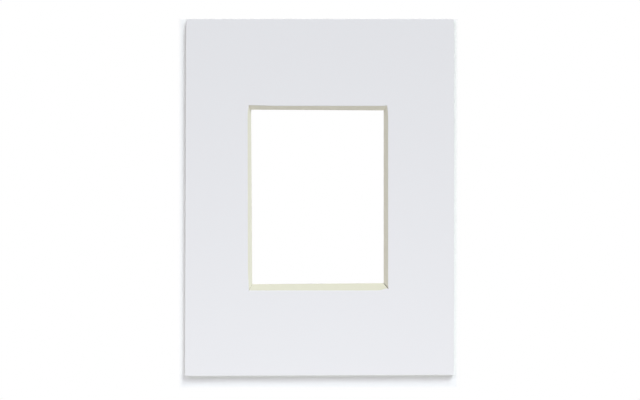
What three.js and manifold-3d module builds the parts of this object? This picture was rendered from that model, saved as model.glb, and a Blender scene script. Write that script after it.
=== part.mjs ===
// A picture mount: one sheet of thick mount board, trimmed by hand and cut with a bevelled window.
//
// X runs across the mount, Y from its foot to its head and Z through its thickness. It lies on its
// back with the face up, and the origin is on the back face, under the middle of the board.

import * as THREE from "three";
import { ConvexGeometry } from "three/addons/geometries/ConvexGeometry.js";
import { mergeVertices } from "three/addons/utils/BufferGeometryUtils.js";
import Module from "manifold-3d";

// Driving dimensions, in millimetres

// The board: its width along the head edge, and its height along the right-hand edge.
const boardWidth = 150;
const boardHeight = 199;
const boardThickness = 2.2;

// How far the hand-trimmed edges stray from square. The left edge's foot stands out to the left of its
// head, the right edge's foot stands in, and the foot edge's left end lies lower than its right end.
const leftEdgeSplay = 0.7;
const rightEdgeLean = 0.3;
const footEdgeDrop = 0.6;

// The window, at the face: its size, and the margins beside it at the head's left and along the head.
const windowWidth = 78.6;
const windowHeight = 103.4;
const leftMargin = 34.4;
const headMargin = 48.5;

// How far each bevel runs in between the face and the back. A run equal to the thickness is a 45 degree
// cut. The foot's was cut flatter than the others.
const leftBevelRun = 2.2;
const rightBevelRun = 2.5;
const headBevelRun = 2.3;
const footBevelRun = 3.9;

// How far the window's cutting wedge reaches past both faces.
const cutOverrun = 1;

// Board colour and finish
const faceColour = 0xe7e8ec;
const faceRoughness = 0.9;

// The board's outline

const footLeft = new THREE.Vector2(-leftEdgeSplay, -footEdgeDrop);
const footRight = new THREE.Vector2(boardWidth - rightEdgeLean, 0);
const headRight = new THREE.Vector2(boardWidth, boardHeight);
const headLeft = new THREE.Vector2(0, boardHeight);
const outline = [footLeft, footRight, headRight, headLeft];

// The blank is the outline carried straight up through the thickness.
function blankGeometry() {
  return new THREE.ExtrudeGeometry(new THREE.Shape(outline), {
    depth: boardThickness,
    bevelEnabled: false,
  });
}

// The window

// The window's four corners at a height above the back. Each side closes in from the face by its own
// bevel run over the board's thickness.
function windowCorners(height) {
  const closing = (boardThickness - height) / boardThickness;
  const left = leftMargin + leftBevelRun * closing;
  const right = leftMargin + windowWidth - rightBevelRun * closing;
  const head = boardHeight - headMargin - headBevelRun * closing;
  const foot = boardHeight - headMargin - windowHeight + footBevelRun * closing;
  return [
    new THREE.Vector3(left, foot, height),
    new THREE.Vector3(right, foot, height),
    new THREE.Vector3(right, head, height),
    new THREE.Vector3(left, head, height),
  ];
}

// The wedge that the four bevel cuts take out of the blank.
function windowGeometry() {
  const below = windowCorners(-cutOverrun);
  const above = windowCorners(boardThickness + cutOverrun);
  return new ConvexGeometry([...below, ...above]);
}

// Cutting one closed mesh out of another

const wasm = await Module();
wasm.setup();

function solidOf(geometry) {
  const bare = geometry.clone();
  bare.deleteAttribute("normal");
  bare.deleteAttribute("uv");
  const merged = mergeVertices(bare);
  const mesh = new wasm.Mesh({
    numProp: 3,
    vertProperties: new Float32Array(merged.attributes.position.array),
    triVerts: new Uint32Array(merged.index.array),
  });
  return new wasm.Manifold(mesh);
}

function geometryOf(solid) {
  const mesh = solid.getMesh();
  const shared = new THREE.BufferGeometry();
  shared.setAttribute("position", new THREE.BufferAttribute(mesh.vertProperties, mesh.numProp));
  shared.setIndex(new THREE.BufferAttribute(mesh.triVerts, 1));
  const flat = shared.toNonIndexed();
  flat.computeVertexNormals();
  return flat;
}

// The mount board

const boardMaterial = new THREE.MeshStandardMaterial({
  color: faceColour,
  roughness: faceRoughness,
  metalness: 0,
});

function mountBoard() {
  const cut = solidOf(blankGeometry()).subtract(solidOf(windowGeometry()));
  const board = new THREE.Mesh(geometryOf(cut), boardMaterial);
  board.name = "mount_board";
  return board;
}

// The mount, with the middle of the board over the origin.
const middle = new THREE.Box2().setFromPoints(outline).getCenter(new THREE.Vector2());
const board = mountBoard();
board.position.set(-middle.x, -middle.y, 0);

const group = new THREE.Group();
group.name = "picture_mount";
group.add(board);

export default group;
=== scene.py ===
import math

import bmesh
import bpy
import numpy as np
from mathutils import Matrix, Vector


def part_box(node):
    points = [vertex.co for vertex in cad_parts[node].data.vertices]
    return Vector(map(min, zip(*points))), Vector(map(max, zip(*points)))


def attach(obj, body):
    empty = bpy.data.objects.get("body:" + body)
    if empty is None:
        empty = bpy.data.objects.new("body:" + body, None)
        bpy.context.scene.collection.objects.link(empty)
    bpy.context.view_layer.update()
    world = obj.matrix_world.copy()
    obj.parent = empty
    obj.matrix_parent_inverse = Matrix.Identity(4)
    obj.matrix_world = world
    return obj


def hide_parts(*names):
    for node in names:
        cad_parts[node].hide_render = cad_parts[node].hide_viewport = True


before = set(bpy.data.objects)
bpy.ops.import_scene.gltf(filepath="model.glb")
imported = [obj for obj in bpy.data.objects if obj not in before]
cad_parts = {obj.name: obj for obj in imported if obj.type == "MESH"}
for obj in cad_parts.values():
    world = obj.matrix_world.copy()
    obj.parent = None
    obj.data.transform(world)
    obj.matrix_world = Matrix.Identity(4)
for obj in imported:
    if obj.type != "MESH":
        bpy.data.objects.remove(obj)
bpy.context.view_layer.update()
board_low, board_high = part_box("mount_board")

bl_info = {
    "name": "Picture mount",
    "version": (1, 0, 0),
    "blender": (4, 5, 0),
    "location": "View3D > Sidebar > Mount",
    "description": "Cuts a bevelled picture mount and sets the white table that it is photographed on",
    "category": "Add Mesh",
}

# The photograph's width, in pixels.
PHOTO_WIDTH = 640


# Sizes and colours that a user would change

class MountSizes(bpy.types.PropertyGroup):
    """Sizes of the board and its window."""

    left_edge_splay: bpy.props.FloatProperty(
        name="Left edge splay",
        description="How far the left edge's foot stands outside its head",
        default=0.0007, subtype="DISTANCE", unit="LENGTH", precision=5,
    )
    right_edge_lean: bpy.props.FloatProperty(
        name="Right edge lean",
        description="How far the right edge's foot stands inside its head",
        default=0.0003, subtype="DISTANCE", unit="LENGTH", precision=5,
    )
    foot_edge_drop: bpy.props.FloatProperty(
        name="Foot edge drop",
        description="How much lower the foot edge's left end lies than its right end",
        default=0.0006, subtype="DISTANCE", unit="LENGTH", precision=5,
    )
    left_margin: bpy.props.FloatProperty(
        name="Left margin",
        description="From the head's left corner to the window's face edge",
        default=0.0344, subtype="DISTANCE", unit="LENGTH", precision=5,
    )
    head_margin: bpy.props.FloatProperty(
        name="Head margin",
        description="From the head edge to the window's face edge",
        default=0.0485, subtype="DISTANCE", unit="LENGTH", precision=5,
    )
    window_width: bpy.props.FloatProperty(
        name="Window width",
        description="Width of the window at the face",
        default=0.0786, subtype="DISTANCE", unit="LENGTH", precision=5,
    )
    window_height: bpy.props.FloatProperty(
        name="Window height",
        description="Height of the window at the face",
        default=0.1034, subtype="DISTANCE", unit="LENGTH", precision=5,
    )
    bevel_runs: bpy.props.FloatVectorProperty(
        name="Bevel runs",
        description="How far the left, foot, right and head bevels run in from the face to the back",
        default=(0.0022, 0.0039, 0.0025, 0.0023), size=4, subtype="NONE", unit="LENGTH", precision=5,
    )
    face_paper: bpy.props.FloatProperty(
        name="Face paper",
        description="Thickness of the white face paper, which shows as a line on the cut edges",
        default=0.00008, subtype="DISTANCE", unit="LENGTH", precision=5,
    )
    backing_paper: bpy.props.FloatProperty(
        name="Backing paper",
        description="Thickness of the backing paper",
        default=0.00008, subtype="DISTANCE", unit="LENGTH", precision=5,
    )
    arris: bpy.props.FloatProperty(
        name="Arris",
        description="Radius to which the paper turns over at a cut edge",
        default=0.00005, subtype="DISTANCE", unit="LENGTH", precision=5,
    )
    knife_slits: bpy.props.FloatVectorProperty(
        name="Knife slits",
        description="Slit widths past the foot left, foot right, head right and head left corners, or 0",
        default=(0.00007, 0.00026, 0.0, 0.0), size=4, subtype="NONE", unit="LENGTH", precision=5,
    )


class MountColours(bpy.types.PropertyGroup):
    """Colours of the board's three layers. The core has a second, darker copy, painted shade on the foot's
    bevel and trimmed edges.
    """

    face: bpy.props.FloatVectorProperty(
        name="Face paper",
        description="Cool white of the face paper",
        default=(0.793, 0.816, 0.845), size=3, subtype="COLOR", min=0, max=1,
    )
    core: bpy.props.FloatVectorProperty(
        name="Core",
        description="Cream of the core on the cut edges",
        default=(0.740, 0.742, 0.632), size=3, subtype="COLOR", min=0, max=1,
    )
    # Painted shade: a darker copy of the core's cream, for the foot's bevel and the trimmed edges.
    rough_core: bpy.props.FloatVectorProperty(
        name="Shaded core",
        description="Cream of the core where it was cut rougher, on the foot's bevel and trimmed edges",
        default=(0.660, 0.661, 0.541), size=3, subtype="COLOR", min=0, max=1,
    )
    backing: bpy.props.FloatVectorProperty(
        name="Backing paper",
        description="Off-white of the backing paper",
        default=(0.74, 0.73, 0.69), size=3, subtype="COLOR", min=0, max=1,
    )


class TableSettings(bpy.types.PropertyGroup):
    """The white table, its light and the camera. A light level of 1 shows a colour as it is written."""

    floor_white: bpy.props.FloatVectorProperty(
        name="Floor white",
        description="White of the table top, a little cool",
        default=(0.894, 0.935, 0.962), size=3, subtype="COLOR", min=0, max=1,
    )
    head_level: bpy.props.FloatProperty(
        name="Head lamp level",
        description="Light level of the low lamp beyond the head",
        default=0.22, min=0,
    )
    right_level: bpy.props.FloatProperty(
        name="Right lamp level",
        description="Light level of the lamp beyond the head's right corner",
        default=0.198, min=0,
    )
    left_level: bpy.props.FloatProperty(
        name="Left lamp level",
        description="Light level of the lamp beyond the head's left corner",
        default=0.145, min=0,
    )
    foot_level: bpy.props.FloatProperty(
        name="Foot lamp level",
        description="Light level of the far lamp beyond the foot",
        default=0.235, min=0,
    )
    near_level: bpy.props.FloatProperty(
        name="Near lamp level",
        description="Light level of the near lamp at the foot",
        default=0.17, min=0,
    )
    dome_level: bpy.props.FloatProperty(
        name="Dome level",
        description="Light level of the even dome round the table",
        default=0.028, min=0,
    )
    view_width: bpy.props.FloatProperty(
        name="View width",
        description="Width of the picture at the height of the board's face",
        default=0.3578, subtype="DISTANCE", unit="LENGTH", precision=4,
    )
    lens: bpy.props.FloatProperty(
        name="Lens",
        description="Focal length of the camera",
        default=75, subtype="DISTANCE_CAMERA", unit="CAMERA",
    )


# Mesh arrays

SIDE_STEPS = 96
LEFT, FOOT, RIGHT, HEAD = range(4)

# The loops run foot left, foot right, head right, head left. These signs point from each corner into
# the board.
INWARD = np.array([[1, 1], [-1, 1], [-1, -1], [1, -1]], dtype=float)


def loop_points(corners, pulls=None, reaches=None):
    """Points round a four-cornered loop. Each side is a straight line between its corners, with its
    steps closer together towards the ends. A pull moves a corner, and the sides near it follow by a
    bell curve of the distance to that corner over its reach, which each corner has for X and for Y."""
    share = (1 - np.cos(np.pi * np.arange(SIDE_STEPS) / SIDE_STEPS)) / 2
    following = np.roll(corners, -1, axis=0)
    points = corners[:, None] + (following - corners)[:, None] * share[None, :, None]
    if pulls is not None:
        length = np.linalg.norm(following - corners, axis=1)[:, None, None]
        share = share[None, :, None]
        near = np.exp(-((length * share / reaches[:, None]) ** 2))
        far = np.exp(-((length * (1 - share) / np.roll(reaches, -1, axis=0)[:, None]) ** 2))
        points = points + pulls[:, None] * near + np.roll(pulls, -1, axis=0)[:, None] * far
    return points.reshape(-1, 2)


def ring_mesh(name, rings, bands, materials):
    """A closed skin through a stack of rings, each joined to the next and the last to the first. The
    rings are arrays of as many points, and bands holds the material number of the strip that starts
    at each ring, or an array of one number for each step round it."""
    points = np.concatenate(rings)
    count, length = len(rings), len(rings[0])
    ring = np.arange(count)[:, None]
    step = np.arange(length)[None, :]
    after_ring = (ring + 1) % count
    after_step = (step + 1) % length
    quads = np.stack(
        [
            ring * length + step,
            after_ring * length + step,
            after_ring * length + after_step,
            ring * length + after_step,
        ],
        axis=-1,
    ).reshape(-1, 4)
    mesh = bpy.data.meshes.new(name)
    mesh.from_pydata(points.tolist(), [], quads.tolist())
    for material in materials:
        mesh.materials.append(material)
    numbers = np.concatenate([np.broadcast_to(band, length) for band in bands])
    mesh.polygons.foreach_set("material_index", numbers.astype(np.int32))
    mesh.update()
    return mesh


def add_piece(name, mesh):
    piece = bpy.data.objects.new(name, mesh)
    bpy.context.scene.collection.objects.link(piece)
    return piece


# Board shape

# How far the cuts stray from the straight window, in metres. A corner's pull is where the knife was
# pushed off its line as it came to the corner, at the face.
CORNER_PULLS = np.array([[0.0005, 0.0], [0.0, 0.0012], [-0.0005, 0.0002], [0.0006, 0.00036]])
PULL_REACHES = np.array([[0.007, 0.003], [0.003, 0.0033], [0.003, 0.0018], [0.0028, 0.010]])
# The board's own corners are a little blunt from handling.
OUTLINE_PULLS = np.array(
    [[0.00028, 0.0002], [-0.0001, 0.0001], [-0.00045, -0.00015], [0.0003, -0.00015]]
)
OUTLINE_REACHES = np.array([[0.002, 0.002], [0.002, 0.002], [0.004, 0.002], [0.003, 0.002]])
# How far the window's corners lie off its sizes, at the face and at the back. The knife leaned a
# little more or less along each cut.
FACE_STRAYS = np.array([[0.00007, 0.0], [0.0, 0.0], [0.0, 0.0], [-0.0001, 0.0]])
BACK_STRAYS = np.array([[0.00032, -0.0003], [0.0, 0.0003], [0.0, -0.0002], [-0.00032, 0.0002]])

# Material numbers on the board's mesh. Shaded core is a darker copy of the core, painted shade on the
# foot's bevel and the trimmed edges, and slit the core inside the knife's slits, darkened as painted shade.
FACE_PAPER, CORE, SHADED_CORE, BACKING, SLIT = range(5)

# How many strips the mesh has up the trimmed edge, over the face or the back, and down the bevel.
EDGE_STRIPS = 6
FACE_STRIPS = 6
BEVEL_STRIPS = 8
# An arris reaches this share of its radius down a bevel.
ARRIS_DEPTH = 0.7


def outline_corners(sizes):
    """The trimmed outline's corners, from the frame's box and the trimming errors."""
    return np.array(
        [
            [board_low.x, board_low.y],
            [board_high.x - sizes.right_edge_lean, board_low.y + sizes.foot_edge_drop],
            [board_high.x, board_high.y],
            [board_low.x + sizes.left_edge_splay, board_high.y],
        ]
    )


def window_corners(sizes):
    """The window's corners at the face and at the back. The back's are the face's, moved in by the
    bevel runs."""
    left = board_low.x + sizes.left_edge_splay + sizes.left_margin
    head = board_high.y - sizes.head_margin
    right = left + sizes.window_width
    foot = head - sizes.window_height
    face = np.array([[left, foot], [right, foot], [right, head], [left, head]])
    runs = sizes.bevel_runs
    inward_runs = np.array(
        [
            [runs[LEFT], runs[FOOT]],
            [-runs[RIGHT], runs[FOOT]],
            [-runs[RIGHT], -runs[HEAD]],
            [runs[LEFT], -runs[HEAD]],
        ]
    )
    return face + FACE_STRAYS, face + inward_runs + BACK_STRAYS


def at_height(points, height):
    return np.column_stack([points, np.full(len(points), height)])


def board_rings(sizes):
    """The board's section carried round it, as rings from the back's outer edge up the trimmed edge,
    over the face, down the bevel and back under the board. The face's rings blend from the outline to
    the window's face edge, and the bevel's from that edge to the window's back edge."""
    top = board_high.z
    arris = sizes.arris
    outline = outline_corners(sizes)
    face_corners, back_corners = window_corners(sizes)
    outer = loop_points(outline, OUTLINE_PULLS, OUTLINE_REACHES)
    outer_in = loop_points(outline + INWARD * arris, OUTLINE_PULLS, OUTLINE_REACHES)
    face_edge = loop_points(face_corners, CORNER_PULLS, PULL_REACHES)
    face_edge_out = loop_points(face_corners - INWARD * arris, CORNER_PULLS, PULL_REACHES)
    back_edge = loop_points(back_corners)
    back_edge_out = loop_points(back_corners - INWARD * arris)

    # The foot's side comes first round each loop.
    bevel_core = np.full(4 * SIDE_STEPS, CORE)
    # The foot's bevel takes the shaded core, painted shade that makes it darker than the other bevels.
    bevel_core[:SIDE_STEPS] = SHADED_CORE
    rings, bands = [], []

    def ring(points, height, band):
        rings.append(at_height(points, height))
        bands.append(band)

    def bevel(share, band):
        ring(face_edge + (back_edge - face_edge) * share, top * (1 - share), band)

    ring(outer_in, 0, BACKING)
    ring(outer, arris, BACKING)
    # Up the trimmed edges the core is the shaded core, painted shade that keeps them darker.
    for height in np.linspace(sizes.backing_paper, top - sizes.face_paper, EDGE_STRIPS + 1)[:-1]:
        ring(outer, height, SHADED_CORE)
    ring(outer, top - sizes.face_paper, FACE_PAPER)
    ring(outer, top - arris, FACE_PAPER)
    for share in np.linspace(0, 1, FACE_STRIPS + 1):
        ring(outer_in + (face_edge_out - outer_in) * share, top, FACE_PAPER)
    arris_share = arris / top * ARRIS_DEPTH
    core_start = sizes.face_paper / top
    core_end = 1 - sizes.backing_paper / top
    bevel(arris_share, FACE_PAPER)
    for share in np.linspace(core_start, core_end, BEVEL_STRIPS + 1)[:-1]:
        bevel(share, bevel_core)
    bevel(core_end, BACKING)
    bevel(1 - arris_share, BACKING)
    for share in np.linspace(0, 1, FACE_STRIPS + 1)[:-1]:
        ring(back_edge_out + (outer_in - back_edge_out) * share, 0, BACKING)
    return rings, bands


# How far the cut along X and the cut along Y run on past each corner, in metres, at the face.
OVERRUNS_ALONG_X = (0.0002, 0.0002, 0.0002, 0.0002)
OVERRUNS_ALONG_Y = (0.0009, 0.0003, 0.0003, 0.0003)
# How far a slit's shape reaches back into the open window, in metres, and out past both faces, as a
# share of the board's thickness. It stands off its own bevel a little, so that it leaves it whole.
SLIT_LEAD = 0.0005
SLIT_PAST_FACES = 0.4
SLIT_STAND_OFF = 0.000006


def slit_mesh(name, sizes, along_x, material):
    """The knife's slits past the corners that have one, for the cuts along X or those along Y. Each is
    a thin blade of four corners in plan, a full slit wide up to the window's corner and closing to a
    point at the overrun's end. It is carried down the slope of its own cut."""
    top = board_high.z
    face, back = window_corners(sizes)
    pulled = face + CORNER_PULLS
    axis = 0 if along_x else 1
    overruns = OVERRUNS_ALONG_X if along_x else OVERRUNS_ALONG_Y
    points, quads = [], []
    for corner in np.flatnonzero(sizes.knife_slits):
        onward = np.zeros(2)
        onward[axis] = -INWARD[corner][axis]
        into_window = np.zeros(2)
        into_window[1 - axis] = INWARD[corner][1 - axis]
        slope = (back - pulled)[corner] * abs(into_window)
        lead = abs((back - pulled)[corner][axis]) + SLIT_LEAD
        near = pulled[corner] + into_window * SLIT_STAND_OFF
        plan = [
            near - onward * lead,
            near + onward * overruns[corner],
            near + into_window * sizes.knife_slits[corner],
            near - onward * lead + into_window * sizes.knife_slits[corner],
        ]
        base = len(points)
        for share in (-SLIT_PAST_FACES, 1 + SLIT_PAST_FACES):
            points += [[*(p + slope * share), top * (1 - share)] for p in plan]
        quads += [[base + i for i in (0, 1, 2, 3)], [base + i for i in (7, 6, 5, 4)]]
        quads += [[base + i, base + 4 + i, base + 4 + (i + 1) % 4, base + (i + 1) % 4] for i in range(4)]
    mesh = bpy.data.meshes.new(name)
    mesh.from_pydata(points, [], quads)
    mesh.materials.append(material)
    return mesh


def cut_slits(piece, sizes, material):
    """Takes the knife's slits out of the board and keeps the result as its mesh."""
    for along_x in (True, False):
        cutter = add_piece("knife_slits", slit_mesh("knife_slits", sizes, along_x, material))
        recalculate_outward(cutter.data)
        cut = piece.modifiers.new("knife_slits", "BOOLEAN")
        cut.operation = "DIFFERENCE"
        cut.solver = "EXACT"
        cut.material_mode = "TRANSFER"
        cut.object = cutter
        evaluated = piece.evaluated_get(bpy.context.evaluated_depsgraph_get())
        result = bpy.data.meshes.new_from_object(evaluated)
        piece.modifiers.clear()
        before = piece.data
        piece.data = result
        bpy.data.meshes.remove(before)
        bpy.data.objects.remove(cutter)
    piece.data.name = piece.name


def recalculate_outward(mesh):
    work = bmesh.new()
    work.from_mesh(mesh)
    bmesh.ops.recalc_face_normals(work, faces=work.faces)
    work.to_mesh(mesh)
    work.free()


# Materials

def new_material(name):
    material = bpy.data.materials.new(name)
    material.use_nodes = True
    material.node_tree.nodes.clear()
    return material


def add_node(tree, kind, **values):
    node = tree.nodes.new(kind)
    for key, value in values.items():
        setattr(node, key, value)
    return node


def link(tree, out, into):
    tree.links.new(out, into)


def combined(tree, operation, sockets):
    """One sum carried through a list of sockets, two at a time."""
    total = sockets[0]
    for socket in sockets[1:]:
        node = add_node(tree, "ShaderNodeMath", operation=operation)
        link(tree, total, node.inputs[0])
        link(tree, socket, node.inputs[1])
        total = node.outputs[0]
    return total


PAPER_GRAIN = "Paper grain"
# The group's own scales, in features to a metre, and its fibres' stretch.
GRAIN_SCALES = {"Mottle Scale": 90.0, "Tooth Scale": 2600.0, "Fibre Scale": 900.0, "Fleck Scale": 1400.0}
FIBRE_STRETCH = (1.0, 0.35, 1.0)
# A fleck fades out between these distances from its cell's middle, in cells. The last number is the
# share of the cells that have none.
FLECK_EDGE = 0.16
FLECK_MIDDLE = 0.05
FLECKLESS_SHARE = 0.93


def paper_grain_group():
    """Paper's surface. Mottle is soft cloud noise, Fibres is noise drawn out along the group's own
    stretch, Flecks marks the few darker bits in the pulp, and Height is the tooth that the felt leaves,
    with the fibres on it."""
    if PAPER_GRAIN in bpy.data.node_groups:
        return bpy.data.node_groups[PAPER_GRAIN]
    group = bpy.data.node_groups.new(PAPER_GRAIN, "ShaderNodeTree")
    socket = group.interface.new_socket
    socket("Vector", in_out="INPUT", socket_type="NodeSocketVector")
    for name, scale in GRAIN_SCALES.items():
        scale_socket = socket(name, in_out="INPUT", socket_type="NodeSocketFloat")
        scale_socket.default_value = scale
    stretch_socket = socket("Fibre Stretch", in_out="INPUT", socket_type="NodeSocketVector")
    stretch_socket.default_value = FIBRE_STRETCH
    for name in ("Mottle", "Fibres", "Flecks", "Height"):
        socket(name, in_out="OUTPUT", socket_type="NodeSocketFloat")

    inputs = add_node(group, "NodeGroupInput")
    outputs = add_node(group, "NodeGroupOutput")

    mottle = add_node(group, "ShaderNodeTexNoise")
    mottle.inputs["Detail"].default_value = 3
    link(group, inputs.outputs["Vector"], mottle.inputs["Vector"])
    link(group, inputs.outputs["Mottle Scale"], mottle.inputs["Scale"])
    link(group, mottle.outputs["Fac"], outputs.inputs["Mottle"])

    stretch = add_node(group, "ShaderNodeVectorMath", operation="MULTIPLY")
    link(group, inputs.outputs["Vector"], stretch.inputs[0])
    link(group, inputs.outputs["Fibre Stretch"], stretch.inputs[1])
    fibres = add_node(group, "ShaderNodeTexNoise")
    fibres.inputs["Detail"].default_value = 4
    fibres.inputs["Distortion"].default_value = 0.6
    link(group, stretch.outputs["Vector"], fibres.inputs["Vector"])
    link(group, inputs.outputs["Fibre Scale"], fibres.inputs["Scale"])
    link(group, fibres.outputs["Fac"], outputs.inputs["Fibres"])

    fleck_cells = add_node(group, "ShaderNodeTexVoronoi")
    link(group, inputs.outputs["Vector"], fleck_cells.inputs["Vector"])
    link(group, inputs.outputs["Fleck Scale"], fleck_cells.inputs["Scale"])
    fleck_dot = add_node(group, "ShaderNodeMapRange", clamp=True)
    fleck_dot.inputs["From Min"].default_value = FLECK_EDGE
    fleck_dot.inputs["From Max"].default_value = FLECK_MIDDLE
    link(group, fleck_cells.outputs["Distance"], fleck_dot.inputs["Value"])
    fleck_pick = add_node(group, "ShaderNodeSeparateColor")
    link(group, fleck_cells.outputs["Color"], fleck_pick.inputs["Color"])
    fleck_rare = add_node(group, "ShaderNodeMath", operation="GREATER_THAN")
    fleck_rare.inputs[1].default_value = FLECKLESS_SHARE
    link(group, fleck_pick.outputs["Red"], fleck_rare.inputs[0])
    flecks = add_node(group, "ShaderNodeMath", operation="MULTIPLY")
    link(group, fleck_dot.outputs["Result"], flecks.inputs[0])
    link(group, fleck_rare.outputs[0], flecks.inputs[1])
    link(group, flecks.outputs[0], outputs.inputs["Flecks"])

    tooth = add_node(group, "ShaderNodeTexNoise")
    tooth.inputs["Detail"].default_value = 2
    link(group, inputs.outputs["Vector"], tooth.inputs["Vector"])
    link(group, inputs.outputs["Tooth Scale"], tooth.inputs["Scale"])
    height = add_node(group, "ShaderNodeMath", operation="ADD")
    link(group, tooth.outputs["Fac"], height.inputs[0])
    link(group, fibres.outputs["Fac"], height.inputs[1])
    link(group, height.outputs[0], outputs.inputs["Height"])
    return group


def mix_colour(tree, factor, first, second):
    """A colour between two, by a mask. Either end is a colour or another node's socket."""
    mix = add_node(tree, "ShaderNodeMix", data_type="RGBA")
    link(tree, factor, mix.inputs["Factor"])
    for key, end in (("A", first), ("B", second)):
        into = [s for s in mix.inputs if s.name == key and s.type == "RGBA"][0]
        if isinstance(end, bpy.types.NodeSocket):
            link(tree, end, into)
        else:
            into.default_value = (*end, 1)
    return [s for s in mix.outputs if s.type == "RGBA"][0]


# The core inside a slit is painted darker, as the shade in the slit, and shows this share of its colour.
SLIT_PAINTED_SHADE = 0.4
# A fleck shows this share of the paper's colour.
FLECK_SHADE = 0.6
# Fibres streak the colour where their noise lies between these values, up to the most given, and
# darken it by the mottle's shade times the depth.
STREAK_START = 0.55
STREAK_END = 0.8
STREAK_MOST = 0.25
STREAK_DEPTH = 3
# How far the roughness wanders to either side, and the sheen of uncoated paper.
ROUGHNESS_SPREAD = 0.04
PAPER_SPECULAR = 0.25


def scaled(colour, factor):
    return tuple(min(1, channel * factor) for channel in colour)


def paper_material(name, colour, shade, grain_values, flecks, roughness, bump):
    """Paper or board: its colour is clouded by the mottle and streaked by the fibres, with a few
    flecks, and the tooth and the fibres raise its surface."""
    material = new_material(name)
    tree = material.node_tree
    output = add_node(tree, "ShaderNodeOutputMaterial")
    surface = add_node(tree, "ShaderNodeBsdfPrincipled")
    surface.inputs["Specular IOR Level"].default_value = PAPER_SPECULAR
    link(tree, surface.outputs["BSDF"], output.inputs["Surface"])
    place = add_node(tree, "ShaderNodeTexCoord")
    grain = add_node(tree, "ShaderNodeGroup", node_tree=paper_grain_group())
    link(tree, place.outputs["Object"], grain.inputs["Vector"])
    for key, value in grain_values.items():
        grain.inputs[key].default_value = value

    darker = scaled(colour, 1 - shade)
    paler = scaled(colour, 1 + shade)
    clouded = mix_colour(tree, grain.outputs["Mottle"], darker, paler)
    streak = add_node(tree, "ShaderNodeMapRange", clamp=True)
    streak.inputs["From Min"].default_value = STREAK_START
    streak.inputs["From Max"].default_value = STREAK_END
    streak.inputs["To Max"].default_value = STREAK_MOST
    link(tree, grain.outputs["Fibres"], streak.inputs["Value"])
    streaked = mix_colour(tree, streak.outputs["Result"], clouded, scaled(colour, 1 - STREAK_DEPTH * shade))
    fleck_share = add_node(tree, "ShaderNodeMath", operation="MULTIPLY")
    fleck_share.inputs[1].default_value = flecks
    link(tree, grain.outputs["Flecks"], fleck_share.inputs[0])
    flecked = mix_colour(tree, fleck_share.outputs[0], streaked, scaled(colour, FLECK_SHADE))
    link(tree, flecked, surface.inputs["Base Color"])

    rough = add_node(tree, "ShaderNodeMapRange")
    rough.inputs["To Min"].default_value = roughness - ROUGHNESS_SPREAD
    rough.inputs["To Max"].default_value = roughness + ROUGHNESS_SPREAD
    link(tree, grain.outputs["Mottle"], rough.inputs["Value"])
    link(tree, rough.outputs["Result"], surface.inputs["Roughness"])

    relief = add_node(tree, "ShaderNodeBump")
    relief.inputs["Strength"].default_value = 1
    relief.inputs["Distance"].default_value = bump
    link(tree, grain.outputs["Height"], relief.inputs["Height"])
    link(tree, relief.outputs["Normal"], surface.inputs["Normal"])
    return material


def board_materials(colours):
    """The board's materials, in the order of their numbers. The bumps are in metres."""
    face_grain = {
        "Mottle Scale": 45, "Tooth Scale": 3200, "Fibre Scale": 1100, "Fibre Stretch": (1, 0.4, 1),
    }
    face = paper_material(
        "face_paper", colours.face, shade=0.002, grain_values=face_grain,
        flecks=0, roughness=0.88, bump=0.000002,
    )
    core_grain = {
        "Mottle Scale": 160, "Tooth Scale": 4200, "Fibre Scale": 1500, "Fibre Stretch": (0.5, 0.5, 4),
    }
    core = paper_material(
        "cream_core", colours.core, shade=0.02, grain_values=core_grain,
        flecks=0.15, roughness=0.94, bump=0.000012,
    )
    # Painted shade: the core's cream made darker, for the foot's bevel and the trimmed edges.
    rough_core = paper_material(
        "rough_core", colours.rough_core, shade=0.02, grain_values=core_grain,
        flecks=0.15, roughness=0.94, bump=0.000012,
    )
    backing_grain = {
        "Mottle Scale": 60, "Tooth Scale": 2600, "Fibre Scale": 900, "Fibre Stretch": (1, 0.3, 1),
    }
    backing = paper_material(
        "backing_paper", colours.backing, shade=0.012, grain_values=backing_grain,
        flecks=0.5, roughness=0.9, bump=0.000008,
    )
    # Painted shade: the core darkened inside the knife's slits.
    slit = paper_material(
        "slit_core", scaled(colours.core, SLIT_PAINTED_SHADE), shade=0.02, grain_values={"Mottle Scale": 160},
        flecks=0, roughness=0.95, bump=0.000004,
    )
    return face, core, rough_core, backing, slit


class PICTUREMOUNT_OT_board(bpy.types.Operator):
    """Cut the mount board, with its bevelled window and its three layers"""

    bl_idname = "picture_mount.board"
    bl_label = "Mount board"
    bl_options = {"REGISTER", "UNDO"}

    def execute(self, context):
        sizes = context.scene.mount_sizes
        materials = board_materials(context.scene.mount_colours)
        rings, bands = board_rings(sizes)
        piece = add_piece("cut_board", ring_mesh("cut_board", rings, bands, materials))
        cut_slits(piece, sizes, materials[SLIT])
        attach(piece, "root")
        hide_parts("mount_board")
        return {"FINISHED"}


# Table, light and camera

FLOOR_HALF_WIDTH = 4.0
FLOOR_DEPTH = 0.00002
# The floor goes over to plain white for the camera between these distances outside the board's left,
# foot, right and head edges, where each shadow ends. A distance below 0 is under the board.
FLOOR_FADES = ((0.0012, 0.0044), (0.0050, 0.0078), (0.0004, 0.0025), (-0.0004, 0.0004))
# It is plain white for the camera inside the window too, out to this half width and half height, which
# lie under the board's borders.
FLOOR_WINDOW_HALF = (0.05, 0.06)

# Each sun-like lamp's bearing from the head towards the right, its height over the floor, and how wide
# it looks from the board, in degrees.
HEAD_LAMP = (18, 24, 18)
RIGHT_LAMP = (36, 30, 24)
LEFT_LAMP = (-45, 36, 28)
FOOT_LAMP = (180, 40, 20)
# The lamps that the lit bevels face are a little cooler than those that the shaded ones face, and the
# left lamp, which the right bevel faces, is a little pinker.
COOL_LIGHT = (0.98, 1.01, 1.01)
WARM_LIGHT = (1.03, 0.985, 0.985)
PINK_LIGHT = (1.01, 0.93, 0.97)
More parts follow.
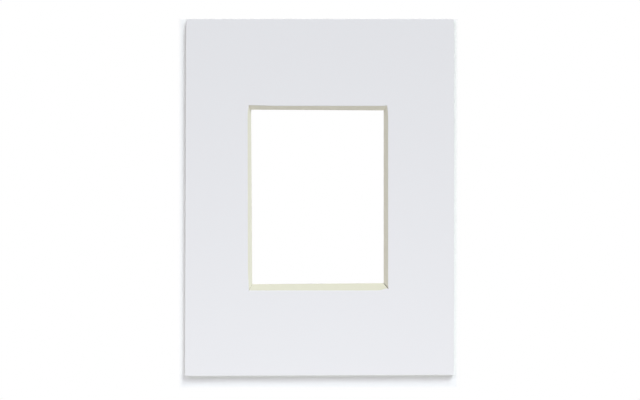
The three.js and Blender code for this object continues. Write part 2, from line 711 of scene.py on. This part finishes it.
# The near lamp: how far before the board's middle and above it, and its size, in metres.
NEAR_LAMP_BEFORE = 0.34
NEAR_LAMP_ABOVE = 0.42
NEAR_LAMP_SIZE = 0.25

# Where the middle of the picture falls on the board, from the board's middle, in pixels of the photograph.
PICTURE_MIDDLE_RIGHT = 0.35
PICTURE_MIDDLE_BELOW = 2.5


def seen_ray(tree):
    """1 on a ray that shows the background: from the camera, off gloss or through glass."""
    path = add_node(tree, "ShaderNodeLightPath")
    rays = ("Is Camera Ray", "Is Glossy Ray", "Is Transmission Ray")
    return combined(tree, "MAXIMUM", [path.outputs[ray] for ray in rays])


def floor_material(settings):
    """White table top. Round the mount it is matt white and keeps the mount's shadow. Inside the
    window, and farther off than the shadow reaches, it is plain white to the camera."""
    material = new_material("white_table")
    tree = material.node_tree
    output = add_node(tree, "ShaderNodeOutputMaterial")
    matt = add_node(tree, "ShaderNodeBsdfDiffuse")
    matt.inputs["Color"].default_value = (*settings.floor_white, 1)

    place = add_node(tree, "ShaderNodeTexCoord")
    sides = add_node(tree, "ShaderNodeSeparateXYZ")
    link(tree, place.outputs["Object"], sides.inputs["Vector"])
    edges = (board_low.x, board_low.y, board_high.x, board_high.y)
    plain_parts = []
    for side, (start, end) in enumerate(FLOOR_FADES):
        outward = -1 if side in (LEFT, FOOT) else 1
        fade = add_node(tree, "ShaderNodeMapRange", clamp=True, interpolation_type="SMOOTHSTEP")
        fade.inputs["From Min"].default_value = edges[side] + outward * start
        fade.inputs["From Max"].default_value = edges[side] + outward * end
        link(tree, sides.outputs["XY"[side % 2]], fade.inputs["Value"])
        plain_parts.append(fade.outputs["Result"])
    window_parts = []
    for axis, half in zip("XY", FLOOR_WINDOW_HALF):
        within = add_node(tree, "ShaderNodeMath", operation="COMPARE")
        within.inputs[1].default_value = 0
        within.inputs[2].default_value = half
        link(tree, sides.outputs[axis], within.inputs[0])
        window_parts.append(within.outputs[0])
    plain_parts.append(combined(tree, "MULTIPLY", window_parts))
    plain = combined(tree, "MAXIMUM", plain_parts)
    plain_seen = combined(tree, "MULTIPLY", [plain, seen_ray(tree)])
    white = add_node(tree, "ShaderNodeEmission")
    both = add_node(tree, "ShaderNodeMixShader")
    link(tree, plain_seen, both.inputs["Fac"])
    link(tree, matt.outputs["BSDF"], both.inputs[1])
    link(tree, white.outputs["Emission"], both.inputs[2])
    link(tree, both.outputs[0], output.inputs["Surface"])
    return material


def add_floor(settings):
    half = FLOOR_HALF_WIDTH
    corners = [(-half, -half), (half, -half), (half, half), (-half, half)]
    mesh = bpy.data.meshes.new("table_top")
    mesh.from_pydata([(x, y, -FLOOR_DEPTH) for x, y in corners], [], [(0, 1, 2, 3)])
    mesh.materials.append(floor_material(settings))
    floor = add_piece("table_top", mesh)


def add_world(settings):
    """An even dome that lights the table, and plain white behind everything."""
    world = bpy.data.worlds.new("white_room")
    world.use_nodes = True
    bpy.context.scene.world = world
    tree = world.node_tree
    tree.nodes.clear()
    output = add_node(tree, "ShaderNodeOutputWorld")
    dome = add_node(tree, "ShaderNodeBackground")
    dome.inputs["Color"].default_value = (1, 1, 1, 1)
    dome.inputs["Strength"].default_value = settings.dome_level
    white = add_node(tree, "ShaderNodeBackground")
    white.inputs["Color"].default_value = (1, 1, 1, 1)
    both = add_node(tree, "ShaderNodeMixShader")
    link(tree, seen_ray(tree), both.inputs["Fac"])
    link(tree, dome.outputs["Background"], both.inputs[1])
    link(tree, white.outputs["Background"], both.inputs[2])
    link(tree, both.outputs[0], output.inputs["Surface"])


def add_sun(name, placing, level, colour=(1, 1, 1)):
    """A lamp far off, of a level on the floor. Its strength across its beam is that level times pi,
    over the sine of its height."""
    bearing, height, width = (math.radians(angle) for angle in placing)
    lamp = bpy.data.lights.new(name, "SUN")
    lamp.angle = width
    lamp.color = colour
    lamp.energy = level * math.pi / math.sin(height)
    holder = bpy.data.objects.new(name, lamp)
    bpy.context.scene.collection.objects.link(holder)
    level_reach = math.cos(height)
    towards = Vector((
        math.sin(bearing) * level_reach,
        math.cos(bearing) * level_reach,
        math.sin(height),
    ))
    holder.rotation_euler = towards.to_track_quat("Z", "Y").to_euler()
    holder.location = towards


def add_near_lamp(level):
    """A soft lamp close by, beyond the foot, which brightens the foot more than the head. Its power
    gives the level at the board's middle: level times pi squared times the distance squared, over the
    cosine of the angle at which its light meets the board."""
    lamp = bpy.data.lights.new("near_lamp", "AREA")
    lamp.shape = "SQUARE"
    lamp.size = NEAR_LAMP_SIZE
    lamp.color = WARM_LIGHT
    place = Vector((0, -NEAR_LAMP_BEFORE, NEAR_LAMP_ABOVE))
    lamp.energy = level * math.pi ** 2 * place.length ** 3 / place.z
    holder = bpy.data.objects.new("near_lamp", lamp)
    bpy.context.scene.collection.objects.link(holder)
    holder.location = place
    holder.rotation_euler = place.to_track_quat("Z", "Y").to_euler()


def add_camera(settings):
    """A camera straight above the face, with the picture's top at the mount's head. Its height is the
    view's width times the lens over the sensor's width."""
    data = bpy.data.cameras.new("camera")
    data.lens = settings.lens
    camera = bpy.data.objects.new("camera", data)
    bpy.context.scene.collection.objects.link(camera)
    pixel = settings.view_width / PHOTO_WIDTH
    middle = (board_low + board_high) / 2
    height = settings.view_width * data.lens / data.sensor_width
    camera.location = (
        middle.x + PICTURE_MIDDLE_RIGHT * pixel,
        middle.y - PICTURE_MIDDLE_BELOW * pixel,
        board_high.z + height,
    )
    bpy.context.scene.camera = camera


class PICTUREMOUNT_OT_stage(bpy.types.Operator):
    """Set the white table, its light and the camera above it"""

    bl_idname = "picture_mount.stage"
    bl_label = "Table, light and camera"
    bl_options = {"REGISTER", "UNDO"}

    def execute(self, context):
        settings = context.scene.mount_table
        add_floor(settings)
        add_world(settings)
        add_sun("head_lamp", HEAD_LAMP, settings.head_level, COOL_LIGHT)
        add_sun("right_lamp", RIGHT_LAMP, settings.right_level, COOL_LIGHT)
        add_sun("left_lamp", LEFT_LAMP, settings.left_level, PINK_LIGHT)
        add_sun("foot_lamp", FOOT_LAMP, settings.foot_level, WARM_LIGHT)
        add_near_lamp(settings.near_level)
        add_camera(settings)
        context.scene.view_settings.view_transform = "Standard"
        return {"FINISHED"}


class PICTUREMOUNT_PT_panel(bpy.types.Panel):
    """Lists the mount's sizes, colours and steps."""

    bl_idname = "PICTUREMOUNT_PT_panel"
    bl_label = "Picture mount"
    bl_space_type = "VIEW_3D"
    bl_region_type = "UI"
    bl_category = "Mount"

    def draw(self, context):
        layout = self.layout
        for group in (context.scene.mount_sizes, context.scene.mount_colours, context.scene.mount_table):
            box = layout.box()
            for key in group.bl_rna.properties.keys():
                if key not in ("rna_type", "name"):
                    box.prop(group, key)
        layout.operator(PICTUREMOUNT_OT_board.bl_idname)
        layout.operator(PICTUREMOUNT_OT_stage.bl_idname)


CLASSES = (
    MountSizes,
    MountColours,
    TableSettings,
    PICTUREMOUNT_OT_board,
    PICTUREMOUNT_OT_stage,
    PICTUREMOUNT_PT_panel,
)


def register():
    for cls in CLASSES:
        bpy.utils.register_class(cls)
    bpy.types.Scene.mount_sizes = bpy.props.PointerProperty(type=MountSizes)
    bpy.types.Scene.mount_colours = bpy.props.PointerProperty(type=MountColours)
    bpy.types.Scene.mount_table = bpy.props.PointerProperty(type=TableSettings)


def unregister():
    del bpy.types.Scene.mount_table
    del bpy.types.Scene.mount_colours
    del bpy.types.Scene.mount_sizes
    for cls in reversed(CLASSES):
        bpy.utils.unregister_class(cls)


def main():
    register()
    bpy.ops.picture_mount.board()
    bpy.ops.picture_mount.stage()


if __name__ == "__main__":
    main()
